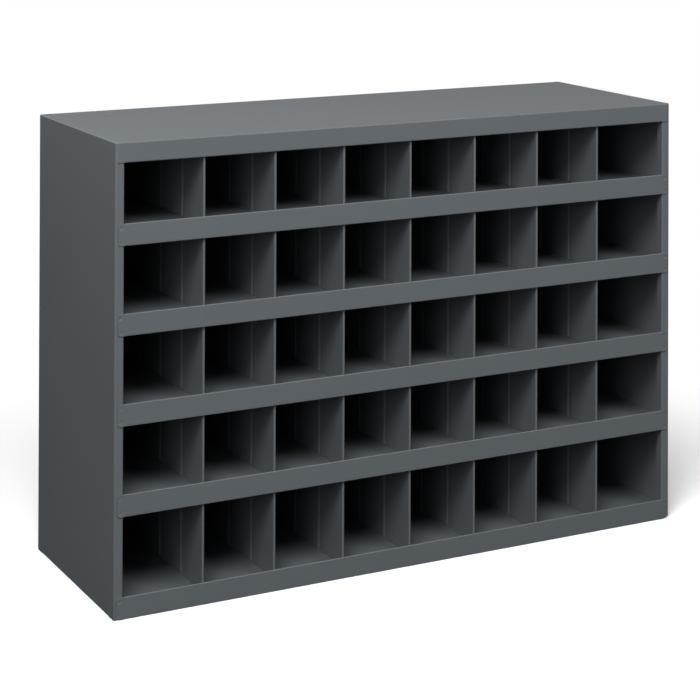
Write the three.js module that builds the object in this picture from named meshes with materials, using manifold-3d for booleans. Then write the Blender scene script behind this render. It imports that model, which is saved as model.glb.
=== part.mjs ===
// Pigeonhole sorter: an all-welded sheet-steel unit with eight columns and five rows of open compartments.
// Millimetres, +Z up. X runs across the front, -Y is the open front, and z = 0 is the floor.
// Every piece is a folded sheet: a path along the middle of the sheet, thickened and rounded at its bends.

import * as THREE from "three";
import { mergeVertices } from "three/addons/utils/BufferGeometryUtils.js";
import Module from "manifold-3d";

const wasm = await Module();
wasm.setup();

// Overall size
const WIDTH = 857.25;
const DEPTH = 304.8;
const HEIGHT = 606.4;

// Sheet thicknesses, the bend radius at mid-thickness, and the clearance between welded pieces
const WRAPPER_SHEET = 1.2;
const SHELF_SHEET = 0.9;
const DIVIDER_SHEET = 0.8;
const BEND_RADIUS = 1.8;
const CLEARANCE = 0.3;
const BEND_STEP = Math.PI / 6;

// Wrapper flanges
const SIDE_FLANGE = 12.7;
const SIDE_RETURN = 12.7;
const TOP_FLANGE = 25.4;
const REAR_FLANGE = 12.7;
const FOOT_FLANGE = 19;
const FOOT_INSET = 20;
const HEM = 9.5;

// Shelves: the bottom one, the step to the first shelf above it, then equal steps
const LIP_HEIGHT = 28.6;
const LIP_ABOVE_SHELF = 12.7;
const LIP_END_INSET = 4.3;
const LIP_CORNER = 4;
const FIRST_STEP = 129.9;
const SHELF_STEP = 114.8;
const SHELF_COUNT = 4;

// Dividers: pitch across the front, distance behind the lips, open front hem and pressed beads
const COLUMN_PITCH = 101.6;
const COLUMNS = 8;
const DIVIDER_SETBACK = 4.5;
const HEM_WIDTH = 3.4;
const HEM_RETURN = 8.5;
const BEAD_SPACING = 76.2;
const BEAD_COUNT = 3;
const BEAD_WIDTH = 9;
const BEAD_FLAT = 3;
const BEAD_HEIGHT = 1.8;

// Derived planes
const frontY = -DEPTH / 2;
const rearY = DEPTH / 2;
const sideX = WIDTH / 2;
const flangeY = frontY + SHELF_SHEET + CLEARANCE;
const wrapperBend = BEND_RADIUS + WRAPPER_SHEET / 2;
const backFaceY = rearY - WRAPPER_SHEET - CLEARANCE - SHELF_SHEET;
const innerEndY = backFaceY - CLEARANCE;
const mouthX = sideX - SIDE_FLANGE - CLEARANCE;
const lipEndX = sideX - LIP_END_INSET;

const paint = { color: 0x5f6466, roughness: 0.42, metalness: 0 };

// Closed outline of a sheet bent along a path of [u, v, bend radius at mid-thickness] points.
// A point with no radius keeps a sharp crease.
function sheetOutline(path, thickness) {
  const points = path.map(([u, v]) => new THREE.Vector2(u, v));
  const origin = new THREE.Vector2();
  const half = thickness / 2;
  const left = [];
  const right = [];
  const push = (centre, outward, toLeft, toRight) => {
    left.push(centre.clone().addScaledVector(outward, toLeft));
    right.push(centre.clone().addScaledVector(outward, toRight));
  };
  points.forEach((point, i) => {
    const next = points[Math.min(i + 1, points.length - 1)];
    const previous = points[Math.max(i - 1, 0)];
    const before = (i > 0 ? point.clone().sub(previous) : next.clone().sub(point)).normalize();
    const after = (i < points.length - 1 ? next.clone().sub(point) : point.clone().sub(previous)).normalize();
    const turn = Math.atan2(before.cross(after), before.dot(after));
    const normal = new THREE.Vector2(-before.y, before.x);
    const radius = path[i][2] || 0;
    if (radius === 0) {
      const mitre = half / Math.cos(turn / 2);
      push(point, normal.rotateAround(origin, turn / 2), mitre, -mitre);
      return;
    }
    const side = Math.sign(turn);
    const centre = point.clone().addScaledVector(before, -radius * Math.tan(Math.abs(turn) / 2));
    centre.addScaledVector(normal, side * radius);
    const steps = Math.max(1, Math.round(Math.abs(turn) / BEND_STEP));
    for (let s = 0; s <= steps; s += 1) {
      const outward = normal.clone().multiplyScalar(-side).rotateAround(origin, (turn * s) / steps);
      push(centre, outward, radius - side * half, radius + side * half);
    }
  });
  return left.concat(right.reverse());
}

// Straight prism of an outline, from one end to the other along the named axis
function prism(outline, axis, start, end) {
  const geometry = new THREE.ExtrudeGeometry(new THREE.Shape(outline), { depth: end - start, bevelEnabled: false });
  geometry.translate(0, 0, start);
  if (axis === "x") {
    const x = new THREE.Vector3(1, 0, 0);
    const y = new THREE.Vector3(0, 1, 0);
    const z = new THREE.Vector3(0, 0, 1);
    geometry.applyMatrix4(new THREE.Matrix4().makeBasis(y, z, x));
  }
  if (axis === "y") {
    geometry.translate(0, 0, -start - end);
    geometry.rotateX(Math.PI / 2);
  }
  return geometry;
}

// Axis-aligned plate between two corners
function plate(low, high) {
  const geometry = new THREE.BoxGeometry(high[0] - low[0], high[1] - low[1], high[2] - low[2]);
  geometry.translate((low[0] + high[0]) / 2, (low[1] + high[1]) / 2, (low[2] + high[2]) / 2);
  return geometry;
}

// Closed solid of a geometry, for joining
function toSolid(geometry) {
  const bare = geometry.clone();
  bare.deleteAttribute("normal");
  bare.deleteAttribute("uv");
  const merged = mergeVertices(bare, 1e-4);
  return new wasm.Manifold(new wasm.Mesh({
    numProp: 3,
    vertProperties: new Float32Array(merged.attributes.position.array),
    triVerts: new Uint32Array(merged.index.array),
  }));
}

// One geometry from several overlapping ones
function join(geometries) {
  const solid = geometries.map(toSolid).reduce((sum, next) => sum.add(next));
  const mesh = solid.getMesh();
  const geometry = new THREE.BufferGeometry();
  geometry.setAttribute("position", new THREE.BufferAttribute(new Float32Array(mesh.vertProperties), 3));
  geometry.setIndex(new THREE.BufferAttribute(new Uint32Array(mesh.triVerts), 1));
  geometry.computeVertexNormals();
  return geometry;
}

function mesh(name, geometry) {
  const piece = new THREE.Mesh(geometry, new THREE.MeshStandardMaterial(paint));
  piece.name = name;
  return piece;
}

// The two ends of a front face, which lie on the side flanges and have their free corners cut off
function faceEnds(low, high, thickness, cutTop) {
  const inner = mouthX - 1;
  const top = cutTop ? LIP_CORNER : 0;
  return [-1, 1].map((side) => {
    const outline = [
      new THREE.Vector2(side * inner, low),
      new THREE.Vector2(side * (lipEndX - LIP_CORNER), low),
      new THREE.Vector2(side * lipEndX, low + LIP_CORNER),
      new THREE.Vector2(side * lipEndX, high - top),
      new THREE.Vector2(side * (lipEndX - top), high),
      new THREE.Vector2(side * inner, high),
    ].filter((point, i, all) => i === 0 || point.distanceTo(all[i - 1]) > 1e-6);
    return prism(outline, "y", frontY, frontY + thickness);
  });
}

// Wrapper: both sides and the top folded from one sheet, flanged at the front, the rear and the feet
function wrapperGeometry() {
  const half = WRAPPER_SHEET / 2;
  const hemY = frontY + half + WRAPPER_SHEET + CLEARANCE;
  const hemBend = (WRAPPER_SHEET + CLEARANCE) / 2;
  const faceLow = HEIGHT - TOP_FLANGE;
  const top = prism(sheetOutline([
    [hemY, faceLow + HEM],
    [hemY, faceLow + half, hemBend],
    [frontY + half, faceLow + half, hemBend],
    [frontY + half, HEIGHT - half, BEND_RADIUS],
    [rearY - half, HEIGHT - half, BEND_RADIUS],
    [rearY - half, HEIGHT - REAR_FLANGE],
  ], WRAPPER_SHEET), "x", -mouthX, mouthX);
  const frontEdge = prism(sheetOutline([
    [frontY + half, HEIGHT - 2 * wrapperBend],
    [frontY + half, HEIGHT - half, BEND_RADIUS],
    [frontY + 2 * wrapperBend, HEIGHT - half],
  ], WRAPPER_SHEET), "x", -lipEndX, lipEndX);
  const cover = plate(
    [-sideX + wrapperBend, flangeY + wrapperBend, HEIGHT - WRAPPER_SHEET],
    [sideX - wrapperBend, rearY - wrapperBend, HEIGHT],
  );
  const pieces = [top, frontEdge, cover, ...faceEnds(faceLow, HEIGHT - wrapperBend, WRAPPER_SHEET, false)];
  [-1, 1].forEach((side) => {
    const wallX = side * (sideX - half);
    const returnX = side * (sideX - SIDE_FLANGE + half);
    pieces.push(prism(sheetOutline([
      [side * (sideX - REAR_FLANGE), rearY - half],
      [wallX, rearY - half, BEND_RADIUS],
      [wallX, flangeY + half, BEND_RADIUS],
      [returnX, flangeY + half, BEND_RADIUS],
      [returnX, flangeY + SIDE_RETURN],
    ], WRAPPER_SHEET), "z", 0, HEIGHT - wrapperBend));
    pieces.push(prism(sheetOutline([
      [wallX, HEIGHT - 2 * wrapperBend],
      [wallX, HEIGHT - half, BEND_RADIUS],
      [side * (sideX - 2 * wrapperBend), HEIGHT - half],
    ], WRAPPER_SHEET), "y", flangeY + wrapperBend, rearY - wrapperBend));
    const foot = [side * (sideX - half), side * (sideX - FOOT_FLANGE)].sort((a, b) => a - b);
    pieces.push(plate([foot[0], frontY + FOOT_INSET, 0], [foot[1], rearY - FOOT_INSET, WRAPPER_SHEET]));
  });
  return join(pieces);
}

// Shelf with its upper face at z = 0: folded up, over and down at the front into a doubled lip with a hem
function shelfGeometry() {
  const half = SHELF_SHEET / 2;
  const lipTop = LIP_ABOVE_SHELF;
  const lipLow = LIP_ABOVE_SHELF - LIP_HEIGHT;
  const foldBend = (SHELF_SHEET + CLEARANCE) / 2;
  const faceY = frontY + half;
  const innerY = faceY + SHELF_SHEET + CLEARANCE;
  const folded = prism(sheetOutline([
    [innerY, lipLow + HEM],
    [innerY, lipLow + half, foldBend],
    [faceY, lipLow + half, foldBend],
    [faceY, lipTop - half, foldBend],
    [innerY, lipTop - half, foldBend],
    [innerY, -half, BEND_RADIUS],
    [innerEndY, -half],
  ], SHELF_SHEET), "x", -mouthX, mouthX);
  const wide = plate(
    [-sideX + WRAPPER_SHEET + CLEARANCE, flangeY + SIDE_RETURN + CLEARANCE, -SHELF_SHEET],
    [sideX - WRAPPER_SHEET - CLEARANCE, innerEndY, 0],
  );
  return join([folded, wide, ...faceEnds(lipLow, lipTop, SHELF_SHEET, true)]);
}

// Divider of a given height, standing at z = 0: pressed beads stand out on its +X face, an open hem at its front
function dividerGeometry(height) {
  const webX = (DIVIDER_SHEET - HEM_WIDTH) / 2;
  const hemX = -webX;
  const edgeY = frontY + DIVIDER_SETBACK + DIVIDER_SHEET / 2;
  const hemBend = (hemX - webX) / 2;
  const path = [[webX, innerEndY]];
  for (let bead = BEAD_COUNT; bead > 0; bead -= 1) {
    const y = frontY + bead * BEAD_SPACING;
    path.push([webX, y + BEAD_WIDTH / 2]);
    path.push([webX + BEAD_HEIGHT, y + BEAD_FLAT / 2]);
    path.push([webX + BEAD_HEIGHT, y - BEAD_FLAT / 2]);
    path.push([webX, y - BEAD_WIDTH / 2]);
  }
  path.push([webX, edgeY, hemBend]);
  path.push([hemX, edgeY, hemBend]);
  path.push([hemX, edgeY + HEM_RETURN]);
  return prism(sheetOutline(path, DIVIDER_SHEET), "z", 0, height);
}

const sorter = new THREE.Group();
sorter.add(mesh("body_wrapper", wrapperGeometry()));
sorter.add(mesh("back_panel", plate(
  [-sideX + wrapperBend, backFaceY, WRAPPER_SHEET + CLEARANCE],
  [sideX - wrapperBend, backFaceY + SHELF_SHEET, HEIGHT - wrapperBend],
)));

// Shelf faces from the bottom up, closed off by the underside of the top
const shelfFaces = [LIP_HEIGHT - LIP_ABOVE_SHELF];
for (let i = 0; i < SHELF_COUNT; i += 1) {
  shelfFaces.push(shelfFaces[i] + (i === 0 ? FIRST_STEP : SHELF_STEP));
}
const ceilings = shelfFaces.slice(1).map((z) => z - SHELF_SHEET);
ceilings.push(HEIGHT - WRAPPER_SHEET);

// One group per level: its shelf, and the row of dividers that stands on it. Rows count from the top.
shelfFaces.forEach((z, i) => {
  const level = new THREE.Group();
  level.position.z = z;
  level.add(mesh(i === 0 ? "bottom_shelf" : `shelf_${i}`, shelfGeometry()));
  const row = shelfFaces.length - i;
  const height = ceilings[i] - z - 2 * CLEARANCE;
  for (let column = 1; column < COLUMNS; column += 1) {
    const divider = mesh(`divider_r${row}_c${column}`, dividerGeometry(height));
    divider.position.set((column - COLUMNS / 2) * COLUMN_PITCH, 0, CLEARANCE);
    level.add(divider);
  }
  sorter.add(level);
});

export default sorter;
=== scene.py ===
"""Looks of a grey enamelled steel pigeonhole sorter: folded sheets, lips, beaded dividers and a stage."""

import math
import random

import bmesh
import bpy
from mathutils import Euler, Matrix, Vector


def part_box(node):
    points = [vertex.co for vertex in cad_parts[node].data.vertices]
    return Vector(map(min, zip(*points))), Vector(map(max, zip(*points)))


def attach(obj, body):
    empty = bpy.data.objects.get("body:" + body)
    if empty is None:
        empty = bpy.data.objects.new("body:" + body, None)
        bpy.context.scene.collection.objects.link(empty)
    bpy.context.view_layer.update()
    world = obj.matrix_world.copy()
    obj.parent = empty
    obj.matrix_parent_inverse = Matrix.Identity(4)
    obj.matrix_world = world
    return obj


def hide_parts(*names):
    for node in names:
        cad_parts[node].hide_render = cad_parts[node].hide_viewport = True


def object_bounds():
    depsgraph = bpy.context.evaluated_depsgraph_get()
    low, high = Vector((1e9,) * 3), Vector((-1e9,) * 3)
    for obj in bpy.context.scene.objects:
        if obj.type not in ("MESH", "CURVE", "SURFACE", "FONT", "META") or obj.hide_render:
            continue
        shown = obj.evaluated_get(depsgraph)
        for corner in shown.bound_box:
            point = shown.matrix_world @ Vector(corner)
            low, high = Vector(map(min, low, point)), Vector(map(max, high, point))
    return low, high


bl_info = {
    "name": "Pigeonhole Sorter",
    "version": (1, 0, 0),
    "blender": (4, 5, 0),
    "location": "View3D > Sidebar > Sorter",
    "description": "Folded-sheet pieces, enamel and stage for a steel pigeonhole sorter",
    "category": "Object",
}

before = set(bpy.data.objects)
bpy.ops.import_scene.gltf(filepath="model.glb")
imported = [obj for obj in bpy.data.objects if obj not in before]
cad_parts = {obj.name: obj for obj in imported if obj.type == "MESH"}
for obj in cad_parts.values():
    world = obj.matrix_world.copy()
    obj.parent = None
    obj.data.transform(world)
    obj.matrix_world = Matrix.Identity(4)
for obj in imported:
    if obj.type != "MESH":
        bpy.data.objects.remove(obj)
CAD_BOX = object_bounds()

MM = 0.001
BODY = "root"
SHELVES = ("bottom_shelf", "shelf_1", "shelf_2", "shelf_3", "shelf_4")
IMAGE_PIXELS = 700
SENSOR_MM = 36.0

# Farthest distance that the camera shows, and the distance within which points become one, in metres
VIEW_REACH = 200.0
SAME_POINT = 1e-6

# Fineness of the meshes: steps round bends, spans of lips and beads, and close lines around pressed marks
BEND_STEPS = 6
DIVIDER_BEND_STEPS = 8
END_STEPS = 9
BEAD_STEPS = 12
LIP_SPANS = 16
FLOOR_SIDES = 96
MARK_REACH = 12.0 * MM
MARK_STEP = 1.0 * MM
WELD_REACH = 4.8 * MM
WELD_STEP = 0.6 * MM
PANEL_WELD_STEP = 0.8 * MM

# Length of the strip behind the wrapper's front edge, in bend radii
STRIP_BENDS = 5

# Rim round a pressed mark: its height over the depth, then its place and width over the radius
RIM_HEIGHT = 0.22
RIM_PLACE = 1.6
RIM_WIDTH = 0.45

# Spot welds: how many in a row, and the ranges over which their places and strengths wander
REAR_FLANGE_WELDS = 6
REAR_FLANGE_WANDER = (-1.0 * MM, 1.0 * MM)
REAR_FLANGE_STRENGTH = (0.7, 1.2)
PANEL_WELDS = 8
PANEL_STRENGTH = (0.6, 1.2)
LIP_WANDER_ACROSS = (-0.6 * MM, 0.8 * MM)
LIP_WANDER_UP = (-0.6 * MM, 0.6 * MM)
LIP_STRENGTH = (0.7, 1.3)

# Share of the clearance by which the ends of a lip are drawn in
LIP_DRAWN_IN = 0.8

# Smallest angle between faces that counts as a cut edge
CUT_EDGE_ANGLE = math.radians(50.0)

# Shares of the slow clouds and the fine speckle in the enamel's colour and roughness
CLOUD_TINT = 0.7
SPECKLE_TINT = 0.3
CLOUD_ROUGHNESS = 0.06
SPECKLE_ROUGHNESS = 0.04

WHITE = (1.0, 1.0, 1.0, 1.0)


def length(name, description, millimetres):
    """A length property whose default is given in millimetres."""
    return bpy.props.FloatProperty(
        name=name, description=description, default=millimetres * MM, unit="LENGTH", precision=5
    )


def place(name, description, default):
    """A place property, in metres."""
    return bpy.props.FloatVectorProperty(
        name=name, description=description, default=default, size=len(default), unit="LENGTH"
    )


def colour(name, description, default):
    """A colour property in linear light."""
    return bpy.props.FloatVectorProperty(
        name=name, description=description, default=default, size=3, subtype="COLOR", min=0.0, max=1.0
    )


def angle(name, description, degrees):
    """An angle property whose default is given in degrees."""
    return bpy.props.FloatProperty(
        name=name, description=description, default=math.radians(degrees), subtype="ANGLE"
    )


def plain(name, description, default):
    """A plain number property."""
    return bpy.props.FloatProperty(name=name, description=description, default=default)


# Settings


class SorterSheetSizes(bpy.types.PropertyGroup):
    """Sizes of the folded sheets"""

    wrapper_sheet: length("Wrapper sheet", "Thickness of the top and sides", 1.2)
    shelf_sheet: length("Shelf sheet", "Thickness of the shelves and the back panel", 0.9)
    divider_sheet: length("Divider sheet", "Thickness of the dividers", 0.8)
    wrapper_bend: length("Wrapper bend", "Outside radius of the wrapper's bends", 2.4)
    crease: length("Crease", "Outside radius of the tighter bends round the top and at the feet", 1.4)
    clearance: length("Clearance", "Gap between folded layers", 0.3)
    edge_round: length("Edge rounding", "Rounding that the enamel gives a cut edge", 0.34)
    side_flange: length("Side flange", "Width of the side walls' front flange", 12.7)
    side_return: length("Side return", "Depth of the return behind the side flange", 12.7)
    top_flange: length("Top flange", "Height of the top's front flange at its ends", 26.2)
    flange_bow: length("Flange bow", "How much lower that flange hangs in the middle", 1.1)
    rear_flange: length("Rear flange", "Width of the rear flanges", 12.7)
    foot_flange: length("Foot flange", "Width of the inward flange under each side", 19.0)
    foot_inset: length("Foot inset", "Distance of the foot flange from the front and rear", 20.0)
    relief: length("Corner relief", "Width of the notch beside the top's rear flange", 5.0)
    relief_depth: length("Relief depth", "Depth of that notch in front of the rear bend", 9.0)
    corner_rise: length("Corner rise", "How much the lower right front corner is cut short", 3.2)
    corner_height: length("Corner height", "Height over which that cut dies out", 10.0)
    hem: length("Hem", "Height of the closed hem under a front face", 9.5)
    lip_end: length("Lip end", "Distance of a lip's end from the outer side", 4.3)
    lowest_lip_end: length("Lowest lip end", "Distance of the lowest lip's end from the outer side", 3.0)
    lip_corner: length("Lip corner", "Corner radius at a lip's ends", 4.0)
    flange_corner: length("Flange corner", "Corner radius at the ends of the top's front flange", 2.0)
    mark_place: place("Top mark place", "Where the pressed mark in the top lies", (-0.3490, 0.1010))
    mark_radius: length("Top mark radius", "Radius of that mark, across the sorter", 3.6)
    mark_stretch: plain("Top mark stretch", "Length of that mark from front to rear over its width", 1.5)
    mark_depth: length("Top mark depth", "Depth of that mark", 2.0)
    lip_above: length("Lip above shelf", "Height of a lip above its shelf", 12.7)
    shelf_bend: length("Shelf bend", "Inside radius where the shelf turns up into its lip", 1.35)


class SorterDividerSizes(bpy.types.PropertyGroup):
    """Sizes of the dividers' beads and hems, and of the weld marks"""

    hem_return: length("Hem return", "Length of the folded leg behind a divider's front edge", 8.5)
    bead_spacing: length("Bead spacing", "Distance between the pressed beads", 76.2)
    bead_width: length("Bead width", "Width of a pressed bead", 9.0)
    bead_height: length("Bead height", "Height of a pressed bead", 1.8)
    beads: bpy.props.IntProperty(name="Beads", description="Pressed beads on each divider", default=3)
    weld_radius: length("Weld radius", "Radius of a spot weld's dimple", 2.3)
    weld_depth: length("Weld depth", "Depth of a spot weld's dimple", 0.42)
    weld_inset: length("Weld inset", "Distance of a weld from the upper or lower edge of its lip", 5.2)
    weld_end: length("Weld end", "Distance of a weld from the end of its lip", 4.3)


class SorterFinish(bpy.types.PropertyGroup):
    """Colour and surface of the enamel"""

    enamel: colour("Enamel", "Colour of the grey enamel", (0.076, 0.087, 0.095))
    enamel_light: colour("Light enamel", "Enamel where the coat lies thin", (0.084, 0.095, 0.103))
    # Painted highlight: a lighter colour laid on the bends where the top meets the sides, standing in for
    # the sheen those bends catch
    painted_bend_highlight: colour(
        "Bend enamel", "Enamel drawn thin over the bends beside the top", (0.122, 0.139, 0.150)
    )
    roughness: plain("Roughness", "Mean roughness of the enamel", 0.42)
    peel_size: length("Orange peel size", "Size of the ripples in the sprayed coat", 2.6)
    peel_depth: length("Orange peel depth", "Depth of the ripples in the sprayed coat", 0.016)
    wave_size: length("Sheet wave size", "Size of the slow waves in the sheet", 170.0)
    wave_depth: length("Sheet wave depth", "Depth of the slow waves in the sheet", 0.5)


class SorterStageSettings(bpy.types.PropertyGroup):
    """Camera, floor and light"""

    floor_shown: colour("Floor", "Floor colour as the camera sees it", (0.93, 0.93, 0.93))
    floor_bounce: colour(
        "Floor bounce", "Floor colour for the light that it throws back", (0.05, 0.05, 0.05)
    )
    floor_reach: length("Floor reach", "Radius of the round floor", 6000.0)
    fade_start: length("Fade start", "Distance at which the floor starts to fade into white", 450.0)
    fade_end: length("Fade end", "Distance at which the floor has become white", 1000.0)
    floor_gloss: plain("Floor in gloss", "Share of the pale floor that gloss shows", 0.03)
    white_gloss: plain("White in gloss", "Share of the white background that gloss shows", 0.27)
    ambient: plain("Ambient", "Strength of the even light from all round", 0.21)
    key_power: plain("Key light", "Power of the high light at the front left, in watts", 119.0)
    low_power: plain("Low light", "Power of the low light at the front left, in watts", 31.0)
    side_power: plain("Side light", "Power of the near light above the left side, in watts", 6.0)
    fill_power: plain("Fill light", "Power of the light at the front right, in watts", 60.0)
    rear_power: plain("Rear light", "Power of the low light behind, in watts", 60.0)
    camera_turn: angle("Camera turn", "Direction of the view, from straight at the front", -28.429)
    camera_tilt: angle("Camera tilt", "Rise of the view above the level", 0.3803)
    camera_roll: angle("Camera roll", "Turn of the camera about its line of view", 0.1805)
    camera_place: place("Camera place", "Where the camera stands", (-1.3535, -2.6562, 0.9985))
    focal_pixels: plain("Focal length", "Distance of the picture plane, in pixels of the frame", 2078.39)
    centre_x: plain("Straight ahead, across", "Pixel column of the straight-ahead point", 414.91)
    centre_y: plain("Straight ahead, down", "Pixel row of the straight-ahead point", -178.61)


# Shader building


class Wire:
    """A shader value that can be used in arithmetic; each operation adds a node."""

    def __init__(self, bench, socket):
        self.bench = bench
        self.socket = socket

    def math(self, operation, *values):
        """The result of a Math node on the given values."""
        return self.bench.node("ShaderNodeMath", {"operation": operation}, dict(enumerate(values))).out(0)

    def __add__(self, other):
        return self.math("ADD", self, other)

    def __radd__(self, other):
        return self.math("ADD", other, self)

    def __sub__(self, other):
        return self.math("SUBTRACT", self, other)

    def __rsub__(self, other):
        return self.math("SUBTRACT", other, self)

    def __mul__(self, other):
        return self.math("MULTIPLY", self, other)

    def __rmul__(self, other):
        return self.math("MULTIPLY", other, self)

    def maximum(self, other):
        """The larger of this value and another."""
        return self.math("MAXIMUM", self, other)

    def size(self):
        """This value without its sign."""
        return self.math("ABSOLUTE", self)

    def ramp(self, start, end):
        """Rises smoothly from 0 at the start to 1 at the end."""
        return self.bench.node(
            "ShaderNodeMapRange",
            {"interpolation_type": "SMOOTHSTEP"},
            {"Value": self, "From Min": start, "From Max": end},
        ).out("Result")


class NodeHandle:
    """A placed shader node whose outputs come back as wires."""

    def __init__(self, bench, node):
        self.bench = bench
        self.node = node

    def out(self, key):
        """One output, by its name or number."""
        return Wire(self.bench, self.node.outputs[key])


class ShaderBench:
    """Builds the nodes of one material or world."""

    def __init__(self, tree):
        self.tree = tree
        tree.nodes.clear()

    def node(self, kind, settings=None, sockets=None):
        """Adds a node, applies its settings, then fills its sockets with values or links."""
        node = self.tree.nodes.new(kind)
        for key, value in (settings or {}).items():
            setattr(node, key, value)
        for key, value in (sockets or {}).items():
            if isinstance(value, Wire):
                self.tree.links.new(value.socket, node.inputs[key])
            else:
                node.inputs[key].default_value = value
        return NodeHandle(self, node)

    def mixed(self, factor, first, second):
        """A colour between two colours."""
        return self.node(
            "ShaderNodeMix", {"data_type": "RGBA"}, {"Factor": factor, "A": first, "B": second}
        ).out("Result")

    def object_place(self):
        """The place on the object, in metres."""
        return self.node("ShaderNodeTexCoord").out("Object")


def rgba(values):
    """A colour with full alpha."""
    return (values[0], values[1], values[2], 1.0)


def grey_enamel():
    """The sprayed grey enamel, made once and shared by every sheet."""
    made = bpy.data.materials.get("grey_enamel")
    if made:
        return made
    finish = bpy.context.scene.sorter_finish
    crease = bpy.context.scene.sorter_sheets.crease
    made = bpy.data.materials.new("grey_enamel")
    made.use_nodes = True
    bench = ShaderBench(made.node_tree)
    spot = bench.object_place()

    def noise(scale, detail, roughness):
        """Cloudy values over the sheet, between 0 and 1."""
        return bench.node(
            "ShaderNodeTexNoise",
            {"noise_dimensions": "3D"},
            {"Vector": spot, "Scale": scale, "Detail": detail, "Roughness": roughness},
        ).out("Fac")

    cloud = noise(scale=9.0, detail=4.0, roughness=0.6)
    speckle = noise(scale=1400.0, detail=2.0, roughness=0.5)
    peel = noise(scale=1.0 / finish.peel_size, detail=1.0, roughness=0.4)
    wave = noise(scale=1.0 / finish.wave_size, detail=1.0, roughness=0.3)
    tint = bench.mixed(
        cloud * CLOUD_TINT + speckle * SPECKLE_TINT, rgba(finish.enamel), rgba(finish.enamel_light)
    )
    # The bends where the top meets the sides get a lighter colour: a painted highlight in place of the sheen
    # they catch
    side = CAD_BOX[1][0]
    top = CAD_BOX[1][2]
    parts = bench.node("ShaderNodeSeparateXYZ", None, {"Vector": spot})
    outward = parts.out("X").size().ramp(side - crease, side - crease / 2)
    upward = parts.out("Z").ramp(top - crease, top - crease / 2)
    tint = bench.mixed(outward * upward, tint, rgba(finish.painted_bend_highlight))
    height = peel * finish.peel_depth + wave * finish.wave_depth
    bump = bench.node(
        "ShaderNodeBump", None, {"Strength": 1.0, "Distance": 1.0, "Height": height}
    ).out("Normal")
    smoothest = finish.roughness - (CLOUD_ROUGHNESS + SPECKLE_ROUGHNESS) / 2
    shader = bench.node(
        "ShaderNodeBsdfPrincipled",
        None,
        {
            "Base Color": tint,
            "Roughness": smoothest + cloud * CLOUD_ROUGHNESS + speckle * SPECKLE_ROUGHNESS,
            "Metallic": 0.0,
            "IOR": 1.5,
            "Normal": bump,
        },
    ).out("BSDF")
    bench.node("ShaderNodeOutputMaterial", None, {"Surface": shader})
    return made


# Mesh building


def rounded(points, steps=BEND_STEPS):
    """A path through (u, v) and (u, v, radius) points, with each corner rounded to its radius."""
    path = []
    for i, point in enumerate(points):
        here = Vector(point[:2])
        radius = point[2] if len(point) > 2 else 0.0
        if radius == 0.0:
            path.append(here)
            continue
        before = (here - Vector(points[i - 1][:2])).normalized()
        after = (Vector(points[i + 1][:2]) - here).normalized()
        turn = before.angle_signed(after)
        side = -1.0 if turn > 0.0 else 1.0
        normal = Vector((-before.y, before.x)) * side
        centre = here - before * radius * math.tan(abs(turn) / 2) + normal * radius
        count = max(1, round(steps * abs(turn) / (math.pi / 2)))
        for s in range(count + 1):
            swing = side * abs(turn) * s / count
            arm = Matrix.Rotation(swing, 2) @ (-normal * radius)
            path.append(centre + arm)
    return path


# The coordinates that a path's two values fill, and the one along which it is drawn
AXIS_ORDER = {"x": (1, 2, 0), "y": (0, 2, 1), "z": (0, 1, 2)}


class Sheet:
    """Collects the faces of one folded sheet, seen from its outer side, and turns them into an object."""

    def __init__(self, name):
        self.name = name
        self.bm = bmesh.new()

    def grid(self, rows, mirror=False):
        """Adds a grid of points; with mirror, its image across X = 0 as well."""
        self._faces([[Vector(p) for p in row] for row in rows], False)
        if mirror:
            self._faces([[Vector((-p[0], p[1], p[2])) for p in row] for row in rows], True)

    def _faces(self, rows, flip):
        """Adds the faces of a grid, turned over with flip."""
        verts = [[self.bm.verts.new(p) for p in row] for row in rows]
        for lower, upper in zip(verts, verts[1:]):
            for i in range(len(lower) - 1):
                corners = [lower[i], lower[i + 1], upper[i + 1], upper[i]]
                self.bm.faces.new(corners[::-1] if flip else corners)

    def drawn(self, path, axis, lines, mirror=False):
        """Draws a path along an axis, through the given positions on that axis."""
        order = AXIS_ORDER[axis]
        rows = []
        for line in lines:
            row = []
            for point in path:
                spot = [0.0, 0.0, 0.0]
                spot[order[0]] = point[0]
                spot[order[1]] = point[1]
                spot[order[2]] = line
                row.append(spot)
            rows.append(row)
        self.grid(rows, mirror)

    def raise_corner(self, inner, outer, behind, sizes):
        """Raises the lower right front corner: most at the outer side, not at all at the mouth or behind."""
        fade = sizes.foot_inset / 2
        for vert in self.bm.verts:
            x, y, z = vert.co
            if x > inner and y < behind and z < sizes.corner_height:
                share = (x - inner) / (outer - inner) * min(1.0, (behind - y) / fade)
                vert.co.z += sizes.corner_rise * share * (1.0 - z / sizes.corner_height)

    def finish(self, thickness, nodes, edge_round):
        """Welds the faces, gives them their thickness and enamel, and stands for the named nodes."""
        bmesh.ops.remove_doubles(self.bm, verts=self.bm.verts, dist=SAME_POINT)
        mesh = bpy.data.meshes.new(self.name)
        self.bm.to_mesh(mesh)
        self.bm.free()
        dress(mesh, self.name, thickness, nodes, edge_round)


def dress(mesh, name, thickness, nodes, edge_round):
    """Makes an object of a one-sided sheet mesh, thickened inwards, with soft cut edges and enamel."""
    mesh.shade_smooth()
    mesh.materials.append(grey_enamel())
    piece = bpy.data.objects.new(name, mesh)
    bpy.context.scene.collection.objects.link(piece)
    solid = piece.modifiers.new("thickness", "SOLIDIFY")
    solid.thickness = thickness
    solid.offset = -1.0
    solid.use_even_offset = True
    soft = piece.modifiers.new("coated_edges", "BEVEL")
    soft.width = edge_round
    soft.segments = 2
    soft.limit_method = "ANGLE"
    soft.angle_limit = CUT_EDGE_ANGLE
    normals = piece.modifiers.new("flat_faces", "WEIGHTED_NORMAL")
    normals.keep_sharp = True
    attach(piece, BODY)
    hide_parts(*nodes)


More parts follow.
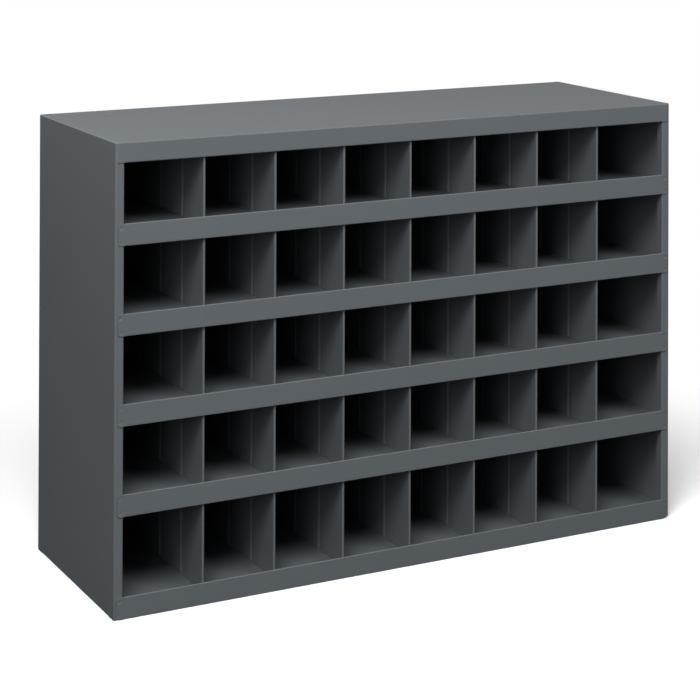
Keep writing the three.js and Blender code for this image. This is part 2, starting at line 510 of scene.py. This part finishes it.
def fine_lines(low, high, spots, reach, step):
    """Positions from low to high, close together around the given spots."""
    lines = {low, high}
    count = round(reach / step)
    for spot in spots:
        for k in range(-count, count + 1):
            value = spot + k * step
            if low < value < high:
                lines.add(value)
    return sorted(lines)


def dimple(distance, radius, depth):
    """Depth of a pressed mark at a distance from its middle, with a low rim round it."""
    reach = distance / radius
    rim = RIM_HEIGHT * math.exp(-((reach - RIM_PLACE) / RIM_WIDTH) ** 2)
    return depth * (math.exp(-reach ** 2) - rim)


def end_columns(inner, outer, corner):
    """Positions across the end of a front face, closer together round its free corners."""
    flat = [inner + (outer - corner - inner) * i / END_STEPS for i in range(END_STEPS)]
    turns = [math.pi / 2 * i / END_STEPS for i in range(END_STEPS + 1)]
    return flat + [outer - corner + corner * math.sin(turn) for turn in turns]


def face_rows(low, high):
    """Heights over the flat part of a front face, close enough together to carry a weld's dimple."""
    count = round((high - low) / WELD_STEP)
    return [low + (high - low) * i / count for i in range(count + 1)]


def end_blend(x, outer, reach):
    """How far a front face has closed in on the sheet behind it: 0 on the face, 1 at its outer end."""
    part = max(0.0, min(1.0, (x - (outer - reach)) / reach))
    return part ** 2 * (3.0 - 2.0 * part)


def weld_depth(x, z, welds):
    """How deep the spot welds sink a face at a point; each weld is its place and its strength."""
    marks = bpy.context.scene.sorter_dividers
    return sum(
        dimple(math.hypot(x - weld_x, z - weld_z), marks.weld_radius, marks.weld_depth * strength)
        for weld_x, weld_z, strength in welds
    )


def face_end(sheet, y, columns, rows, corner, welds, drawn_in):
    """The flat end of a front face beyond the mouth, with rounded free corners and spot-weld dimples.

    Its outermost part is drawn in towards the sheet behind it, and no dimple reaches its seam at the mouth.
    Without welds it is the end of the top's flange, which has a free corner below only.
    """
    inner = columns[0]
    outer = columns[-1]
    low = rows[0]
    high = rows[-1]
    grid = []
    for x in columns:
        over = max(0.0, x - (outer - corner))
        cut = corner - math.sqrt(max(0.0, corner ** 2 - over ** 2))
        bottom = low + cut
        top = high - cut if welds else high
        face = y + drawn_in * end_blend(x, outer, corner)
        row = []
        for height in rows:
            z = bottom + (top - bottom) * (height - low) / (high - low)
            sunk = weld_depth(x, z, welds) if x > inner else 0.0
            row.append((-x, face + sunk, z))
        grid.append(row)
    sheet.grid(grid, mirror=True)


# Pieces


class WrapperFold:
    """The wrapper's fold lines, and the steps that draw its sheet along them."""

    def __init__(self, sizes):
        low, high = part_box("body_wrapper")
        self.sizes = sizes
        self.sheet = Sheet("wrapper")
        self.bend = sizes.wrapper_bend
        self.crease = sizes.crease
        self.side = high.x
        self.top = high.z
        self.front = low.y
        self.rear = high.y
        self.flange = self.front + sizes.shelf_sheet + sizes.clearance
        self.strip_end = self.front + STRIP_BENDS * self.bend
        self.foot_front = self.front + sizes.foot_inset
        self.foot_rear = self.rear - sizes.foot_inset
        self.rear_bend = self.rear - self.bend
        self.notch = self.rear_bend - sizes.relief_depth
        self.mouth = self.side - sizes.side_flange - sizes.clearance
        self.side_bend = self.side - self.bend
        self.rear_end = self.side - sizes.rear_flange - sizes.clearance
        self.notch_end = self.rear_end + sizes.relief
        self.mark = Vector(sizes.mark_place)
        self.welds = self.rear_welds()
        self.lay_lines()

    def rear_welds(self):
        """The spot welds down each rear flange."""
        rng = random.Random("rear flange")
        weld_x = self.weld_line()
        welds = []
        for k in range(REAR_FLANGE_WELDS):
            x = weld_x + rng.uniform(*REAR_FLANGE_WANDER)
            z = (k + 0.5) * self.top / REAR_FLANGE_WELDS
            welds.append((x, z, rng.uniform(*REAR_FLANGE_STRENGTH)))
        return welds

    def weld_line(self):
        """The middle of the left rear flange."""
        return -self.side + self.sizes.rear_flange / 2

    def lay_lines(self):
        """Lays the lines that neighbouring faces share, so that they meet point to point."""
        sizes = self.sizes
        self.columns = sorted({
            *end_columns(self.mouth, self.side_bend, sizes.flange_corner), self.notch_end
        })
        ends = {*self.columns, self.rear_end}
        near_mark = fine_lines(-self.side_bend, self.side_bend, [self.mark.x], MARK_REACH, MARK_STEP)
        self.across = sorted({*near_mark, *ends, *(-x for x in ends)})
        self.between = [x for x in self.across if abs(x) <= self.rear_end]
        near_mark = fine_lines(
            self.strip_end, self.rear_bend, [self.mark.y], MARK_REACH * sizes.mark_stretch, MARK_STEP
        )
        self.along = sorted({self.foot_front, self.foot_rear, self.notch, *near_mark})
        self.depths = [self.flange + self.bend, *self.along]
        weld_heights = [z for x, z, strength in self.welds]
        self.wall_heights = fine_lines(
            self.bend, self.top - self.crease, weld_heights, WELD_REACH, WELD_STEP
        )
        self.heights = [0.0, self.crease, *self.wall_heights]

    def level_top(self):
        """The flat top, with its one pressed mark and the notches beside its rear flange."""
        sizes = self.sizes
        rows = []
        for y in [y for y in self.along if y <= self.notch]:
            row = []
            for x in self.across:
                away = math.hypot(x - self.mark.x, (y - self.mark.y) / sizes.mark_stretch)
                row.append((x, y, self.top - dimple(away, sizes.mark_radius, sizes.mark_depth)))
            rows.append(row)
        self.sheet.grid(rows)
        behind = [y for y in self.along if y >= self.notch]
        corner = [x for x in self.across if x <= -self.notch_end]
        self.sheet.grid([[(x, y, self.top) for x in corner] for y in behind], mirror=True)
        self.sheet.grid([[(x, y, self.top) for x in self.between] for y in behind])

    def front_roll(self, face):
        """The path from the flat top over its front bend to a face."""
        return rounded([
            (self.strip_end, self.top),
            (self.flange + self.bend, self.top),
            (face, self.top, self.crease),
            (face, self.top - self.crease),
        ])

    def front_flange(self):
        """The top's front flange with its closed hem, and its ends, ground flush with the side flanges."""
        sizes = self.sizes
        front = self.front
        high = self.top - self.crease
        low = self.top - sizes.top_flange
        hem_bend = sizes.wrapper_sheet + sizes.clearance / 2
        hem_y = front + 2 * hem_bend
        flat = face_rows(low + hem_bend, high)
        roll = self.front_roll(front)
        face = [Vector((front, z)) for z in reversed(flat)]
        hem = rounded([
            (front, low + hem_bend),
            (front, low, hem_bend),
            (hem_y, low, hem_bend),
            (hem_y, low + sizes.hem),
        ])
        rows = []
        for x in [x for x in self.across if abs(x) <= self.mouth]:
            bow = sizes.flange_bow * (1.0 - (x / self.mouth) ** 2)
            row = []
            for y, z in roll + face + hem:
                hang = max(0.0, (high - z) / (high - low))
                row.append((x, y, z - bow * hang))
            rows.append(row)
        self.sheet.grid(rows)

        rim = self.front_roll(self.flange)
        rows = []
        for x in reversed(self.columns):
            blend = end_blend(x, self.side_bend, sizes.flange_corner)
            rows.append([(-x, *a.lerp(b, blend)) for a, b in zip(roll, rim)])
        self.sheet.grid(rows, mirror=True)
        heights = [low, low + hem_bend / 2, *flat]
        face_end(self.sheet, front, self.columns, heights, sizes.flange_corner, [], self.flange - front)

    def front_corners(self):
        """The rounded corners where the top, a side and the front meet."""
        middle = Vector((-self.side_bend, self.flange + self.bend, self.top))
        quarter = [math.pi / 2 * i / BEND_STEPS for i in range(BEND_STEPS + 1)]
        rows = []
        for tilt in quarter:
            reach = self.bend - self.crease + self.crease * math.cos(tilt)
            drop = self.crease * (1.0 - math.sin(tilt))
            row = []
            for turn in quarter:
                row.append(middle - Vector((reach * math.cos(turn), reach * math.sin(turn), drop)))
            rows.append(row)
        rows.append([middle] * len(quarter))
        self.sheet.grid(rows, mirror=True)

    def side_walls(self):
        """The side walls, the bends to the top, and the front flanges with their returns."""
        sizes = self.sizes
        side = -self.side
        arc = rounded([
            (side, self.top - self.crease),
            (side, self.top, self.crease),
            (-self.side_bend, self.top),
        ])
        self.sheet.drawn(arc[1:], "y", self.depths, mirror=True)
        self.sheet.drawn([(side, z) for z in self.wall_heights], "y", self.depths, mirror=True)
        below = [(side, 0.0), (side, self.crease), (side, self.bend)]
        self.sheet.drawn(below, "y", [y for y in self.depths if y <= self.foot_front], mirror=True)
        self.sheet.drawn(below, "y", [y for y in self.depths if y >= self.foot_rear], mirror=True)
        inner = side + sizes.side_flange
        returned = rounded([
            (side, self.flange + self.bend),
            (side, self.flange, self.bend),
            (inner, self.flange, self.bend),
            (inner, self.flange + sizes.side_return),
        ])
        self.sheet.drawn(returned[1:], "z", self.heights, mirror=True)

    def side_rears(self):
        """The rear flanges of the sides, with their spot welds, reaching up behind the top's notches."""
        sizes = self.sizes
        side = -self.side
        bend = rounded([(-self.side_bend, self.rear), (side, self.rear, self.bend), (side, self.rear_bend)])
        self.sheet.drawn(bend[1:-1], "z", self.heights, mirror=True)
        widths = fine_lines(
            -self.side_bend, side + sizes.rear_flange, [self.weld_line()], WELD_REACH, WELD_STEP
        )
        rows = []
        for z in [*self.heights, self.top - sizes.clearance]:
            rows.append([(x, self.rear - weld_depth(x, z, self.welds), z) for x in reversed(widths)])
        self.sheet.grid(rows, mirror=True)

    def feet(self):
        """The inward flanges under the sides."""
        side = -self.side
        path = rounded([(side + self.sizes.foot_flange, 0.0), (side, 0.0, self.crease), (side, self.bend)])
        reach = [y for y in self.depths if self.foot_front <= y <= self.foot_rear]
        self.sheet.drawn(path, "y", reach, mirror=True)

    def top_rear(self):
        """The rear flange of the top."""
        path = rounded([
            (self.rear, self.top - self.sizes.rear_flange),
            (self.rear, self.top, self.bend),
            (self.rear_bend, self.top),
        ])
        self.sheet.drawn(path[:-1], "x", self.between)

    def finish(self):
        """Cuts the lower right corner short and completes the sheet."""
        sizes = self.sizes
        self.sheet.raise_corner(self.mouth, self.side, self.foot_front, sizes)
        self.sheet.finish(sizes.wrapper_sheet, ["body_wrapper"], sizes.edge_round)


class SORTER_OT_wrapper(bpy.types.Operator):
    """Fold the top and both sides from one sheet"""

    bl_idname = "sorter.wrapper"
    bl_label = "Wrapper"

    def execute(self, context):
        fold = WrapperFold(context.scene.sorter_sheets)
        fold.level_top()
        fold.front_flange()
        fold.front_corners()
        fold.side_walls()
        fold.side_rears()
        fold.feet()
        fold.top_rear()
        fold.finish()
        return {"FINISHED"}


class SORTER_OT_back_panel(bpy.types.Operator):
    """Set the flat rear panel inside the rear flanges"""

    bl_idname = "sorter.back_panel"
    bl_label = "Back Panel"

    def execute(self, context):
        sizes = context.scene.sorter_sheets
        low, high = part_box("back_panel")
        sheet = Sheet("rear_panel")
        rng = random.Random("rear panel")
        spots_x = [low.x + (high.x - low.x) * (i + 0.5) / PANEL_WELDS for i in range(PANEL_WELDS)]
        spots_z = [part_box(name)[1].z - sizes.lip_above for name in SHELVES[1:]]
        welds = [(x, z, rng.uniform(*PANEL_STRENGTH)) for x in spots_x for z in spots_z]
        columns = fine_lines(low.x, high.x, spots_x, WELD_REACH, PANEL_WELD_STEP)
        rows = []
        for z in fine_lines(low.z, high.z, spots_z, WELD_REACH, PANEL_WELD_STEP):
            near = [weld for weld in welds if abs(weld[1] - z) <= WELD_REACH]
            rows.append([(x, high.y - weld_depth(x, z, near), z) for x in reversed(columns)])
        sheet.grid(rows)
        sheet.finish(sizes.shelf_sheet, ["back_panel"], sizes.edge_round)
        return {"FINISHED"}


class SORTER_OT_shelves(bpy.types.Operator):
    """Fold each shelf up, over and down at the front into its doubled lip"""

    bl_idname = "sorter.shelves"
    bl_label = "Shelves"

    def execute(self, context):
        for name in SHELVES:
            self.fold(context, name)
        return {"FINISHED"}

    def fold(self, context, name):
        """One shelf with its lip, whose ends lie on the side flanges and are welded to them."""
        sizes = context.scene.sorter_sheets
        low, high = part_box(name)
        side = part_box("body_wrapper")[1].x
        lowest = name == SHELVES[0]
        front = low.y
        face = high.z - sizes.lip_above
        bend = sizes.shelf_sheet + sizes.clearance / 2
        behind = front + 2 * bend
        mouth = side - sizes.side_flange - sizes.clearance
        end = side - (sizes.lowest_lip_end if lowest else sizes.lip_end)
        notch = front + sizes.shelf_sheet + 2 * sizes.clearance + sizes.side_return
        sheet = Sheet(name + "_sheet")
        upper = rounded([
            (high.y, face),
            (notch, face),
            (behind, face, sizes.shelf_bend),
            (behind, high.z, bend),
            (front, high.z, bend),
            (front, high.z - bend),
        ])
        flat = face_rows(low.z + bend, high.z - bend)
        lip = [Vector((front, z)) for z in reversed(flat)]
        lower = rounded([
            (front, low.z + bend),
            (front, low.z, bend),
            (behind, low.z, bend),
            (behind, low.z + sizes.hem),
        ])
        spans = [-mouth + 2 * mouth * i / LIP_SPANS for i in range(LIP_SPANS + 1)]
        sheet.drawn(upper + lip + lower, "x", spans)
        sheet.grid([[(x, high.y, face), (x, notch, face)] for x in (low.x, -mouth)], mirror=True)
        columns = end_columns(mouth, end, sizes.lip_corner)
        rows = [low.z, low.z + bend / 2, *flat, high.z - bend / 2, high.z]
        welds = self.welds(context, name, end, low.z, high.z)
        face_end(sheet, front, columns, rows, sizes.lip_corner, welds, LIP_DRAWN_IN * sizes.clearance)
        if lowest:
            sheet.raise_corner(mouth, side, front + sizes.foot_inset, sizes)
        sheet.finish(sizes.shelf_sheet, [name], sizes.edge_round)

    def welds(self, context, name, end, low, high):
        """The upper and lower spot weld at a lip's end."""
        marks = context.scene.sorter_dividers
        rng = random.Random(name)
        welds = []
        for height in (high - marks.weld_inset, low + marks.weld_inset):
            x = end - marks.weld_end + rng.uniform(*LIP_WANDER_ACROSS)
            z = height + rng.uniform(*LIP_WANDER_UP)
            welds.append((x, z, rng.uniform(*LIP_STRENGTH)))
        return welds


class SORTER_OT_dividers(bpy.types.Operator):
    """Press the beads and fold the open front hem of every divider"""

    bl_idname = "sorter.dividers"
    bl_label = "Dividers"

    def execute(self, context):
        names = sorted(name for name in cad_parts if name.startswith("divider_"))
        if not names:
            raise RuntimeError("the frame holds no dividers")
        for name in names:
            self.press(context, name)
        return {"FINISHED"}

    def press(self, context, name):
        """One divider, drawn up from the path of its beads and hem seen from above."""
        sizes = context.scene.sorter_sheets
        marks = context.scene.sorter_dividers
        low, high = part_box(name)
        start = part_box("body_wrapper")[0].y
        half = marks.bead_width / 2
        path = [(low.x, high.y)]
        for bead in range(marks.beads, 0, -1):
            middle = start + bead * marks.bead_spacing
            for k in range(BEAD_STEPS + 1):
                offset = half - marks.bead_width * k / BEAD_STEPS
                rise = marks.bead_height * (0.5 + 0.5 * math.cos(math.pi * offset / half))
                path.append((low.x + rise, middle + offset))
        bend = (high.x - low.x) / 2
        path += rounded([
            (low.x, start + marks.bead_spacing - half),
            (low.x, low.y, bend),
            (high.x, low.y, bend),
            (high.x, low.y + marks.hem_return),
        ], DIVIDER_BEND_STEPS)[1:]
        sheet = Sheet(name + "_sheet")
        sheet.drawn(path, "z", [low.z, (low.z + high.z) / 2, high.z])
        sheet.finish(sizes.divider_sheet, [name], sizes.edge_round)


class SORTER_OT_stage(bpy.types.Operator):
    """Lay the floor, hang the lights and set the camera"""

    bl_idname = "sorter.stage"
    bl_label = "Stage"

    def execute(self, context):
        scene = context.scene
        scene.view_settings.view_transform = "Standard"
        self.floor(scene)
        self.lights(scene)
        self.camera(scene)
        return {"FINISHED"}

    def floor(self, scene):
        """A round pale floor that keeps the shadow near the sorter and fades into the white background."""
        stage = scene.sorter_stage
        bm = bmesh.new()
        bmesh.ops.create_circle(bm, cap_ends=True, radius=stage.floor_reach, segments=FLOOR_SIDES)
        mesh = bpy.data.meshes.new("floor")
        bm.to_mesh(mesh)
        bm.free()
        made = bpy.data.materials.new("pale_floor")
        made.use_nodes = True
        bench = ShaderBench(made.node_tree)
        shown = self.seen(bench, stage.floor_gloss)
        tint = bench.mixed(shown, rgba(stage.floor_bounce), rgba(stage.floor_shown))
        shadowed = bench.node("ShaderNodeBsdfDiffuse", None, {"Color": tint}).out("BSDF")
        white = bench.node("ShaderNodeEmission", None, {"Color": WHITE, "Strength": 1.0}).out("Emission")
        spot = bench.object_place()
        distance = bench.node("ShaderNodeVectorMath", {"operation": "LENGTH"}, {0: spot}).out("Value")
        camera_ray = bench.node("ShaderNodeLightPath").out("Is Camera Ray")
        faded = distance.ramp(stage.fade_start, stage.fade_end) * camera_ray
        shader = bench.node("ShaderNodeMixShader", None, {0: faded, 1: shadowed, 2: white}).out("Shader")
        bench.node("ShaderNodeOutputMaterial", None, {"Surface": shader})
        mesh.materials.append(made)
        floor = bpy.data.objects.new("floor", mesh)
        scene.collection.objects.link(floor)

    def seen(self, bench, gloss):
        """How much of the background a ray shows: all of it, a share for gloss, none for bounced light."""
        path = bench.node("ShaderNodeLightPath")
        straight = path.out("Is Camera Ray").maximum(path.out("Is Transmission Ray"))
        return straight.maximum(path.out("Is Glossy Ray") * gloss)

    def lights(self, scene):
        """Even white light all round, and five soft lamps."""
        stage = scene.sorter_stage
        world = bpy.data.worlds.new("studio")
        world.use_nodes = True
        bench = ShaderBench(world.node_tree)
        strength = stage.ambient + self.seen(bench, stage.white_gloss) * (1.0 - stage.ambient)
        shader = bench.node("ShaderNodeBackground", None, {"Color": WHITE, "Strength": strength})
        bench.node("ShaderNodeOutputWorld", None, {"Surface": shader.out("Background")})
        scene.world = world
        self.lamp(scene, "key_light", stage.key_power, turn=38, rise=45, distance=3.5, size=1.6)
        self.lamp(scene, "low_light", stage.low_power, turn=44, rise=16, distance=3.7, size=1.7)
        self.lamp(scene, "side_light", stage.side_power, turn=88, rise=55, distance=1.6, size=0.7)
        self.lamp(scene, "fill_light", stage.fill_power, turn=-28, rise=35, distance=3.5, size=1.6)
        rear = self.lamp(scene, "rear_light", stage.rear_power, turn=195, rise=4, distance=4.0, size=1.2)
        rear.visible_glossy = False

    def lamp(self, scene, name, power, turn, rise, distance, size):
        """A round soft lamp: turn degrees to the left of the front, rise degrees up, aimed at the sorter."""
        data = bpy.data.lights.new(name, "AREA")
        data.shape = "DISK"
        data.size = size
        data.energy = power
        turn = math.radians(turn)
        rise = math.radians(rise)
        aim = Vector((0.0, 0.0, CAD_BOX[1][2] / 2))
        away = Vector((-math.sin(turn) * math.cos(rise), -math.cos(turn) * math.cos(rise), math.sin(rise)))
        lamp = bpy.data.objects.new(name, data)
        lamp.location = aim + away * distance
        lamp.rotation_euler = away.to_track_quat("Z", "Y").to_euler()
        scene.collection.objects.link(lamp)
        return lamp

    def camera(self, scene):
        """A nearly level view whose picture plane stays nearly upright, so uprights stay nearly parallel.

        The frame lies below the straight-ahead point. The camera's axes are its right, its upward direction,
        and the line from the middle of the frame back to the lens.
        """
        stage = scene.sorter_stage
        turned = Euler((stage.camera_tilt, -stage.camera_roll, stage.camera_turn), "YXZ").to_matrix()
        right, ahead, up = (turned.col[i].copy() for i in range(3))
        across = IMAGE_PIXELS / 2 - stage.centre_x
        down = IMAGE_PIXELS / 2 - stage.centre_y
        line = right * across - up * down + ahead * stage.focal_pixels
        axes = Matrix((right, up, -line.normalized())).transposed()
        data = bpy.data.cameras.new("camera")
        data.sensor_width = SENSOR_MM
        data.lens = line.length / IMAGE_PIXELS * SENSOR_MM
        data.clip_end = VIEW_REACH
        camera = bpy.data.objects.new("camera", data)
        stand = bpy.data.objects.new("camera_stand", None)
        scene.collection.objects.link(stand)
        scene.collection.objects.link(camera)
        camera.parent = stand
        camera.matrix_parent_inverse = Matrix.Translation(stage.camera_place) @ axes.to_4x4()
        scene.camera = camera


class SORTER_PT_panel(bpy.types.Panel):
    """Lists the sorter's pieces and its stage"""

    bl_idname = "SORTER_PT_panel"
    bl_label = "Pigeonhole Sorter"
    bl_space_type = "VIEW_3D"
    bl_region_type = "UI"
    bl_category = "Sorter"

    def draw(self, context):
        column = self.layout.column()
        for piece in PIECES:
            column.operator(piece.bl_idname)


PIECES = (
    SORTER_OT_wrapper,
    SORTER_OT_back_panel,
    SORTER_OT_shelves,
    SORTER_OT_dividers,
    SORTER_OT_stage,
)
SETTINGS = {
    "sorter_sheets": SorterSheetSizes,
    "sorter_dividers": SorterDividerSizes,
    "sorter_finish": SorterFinish,
    "sorter_stage": SorterStageSettings,
}


def register():
    """Registers the settings, the operators and the panel."""
    for name, group in SETTINGS.items():
        bpy.utils.register_class(group)
        setattr(bpy.types.Scene, name, bpy.props.PointerProperty(type=group))
    for cls in (*PIECES, SORTER_PT_panel):
        bpy.utils.register_class(cls)


def unregister():
    """Takes back what register added."""
    for cls in reversed((*PIECES, SORTER_PT_panel)):
        bpy.utils.unregister_class(cls)
    for name, group in reversed(list(SETTINGS.items())):
        delattr(bpy.types.Scene, name)
        bpy.utils.unregister_class(group)


def main():
    """Builds the sorter and its stage."""
    register()
    bpy.ops.sorter.wrapper()
    bpy.ops.sorter.back_panel()
    bpy.ops.sorter.shelves()
    bpy.ops.sorter.dividers()
    bpy.ops.sorter.stage()


if __name__ == "__main__":
    main()
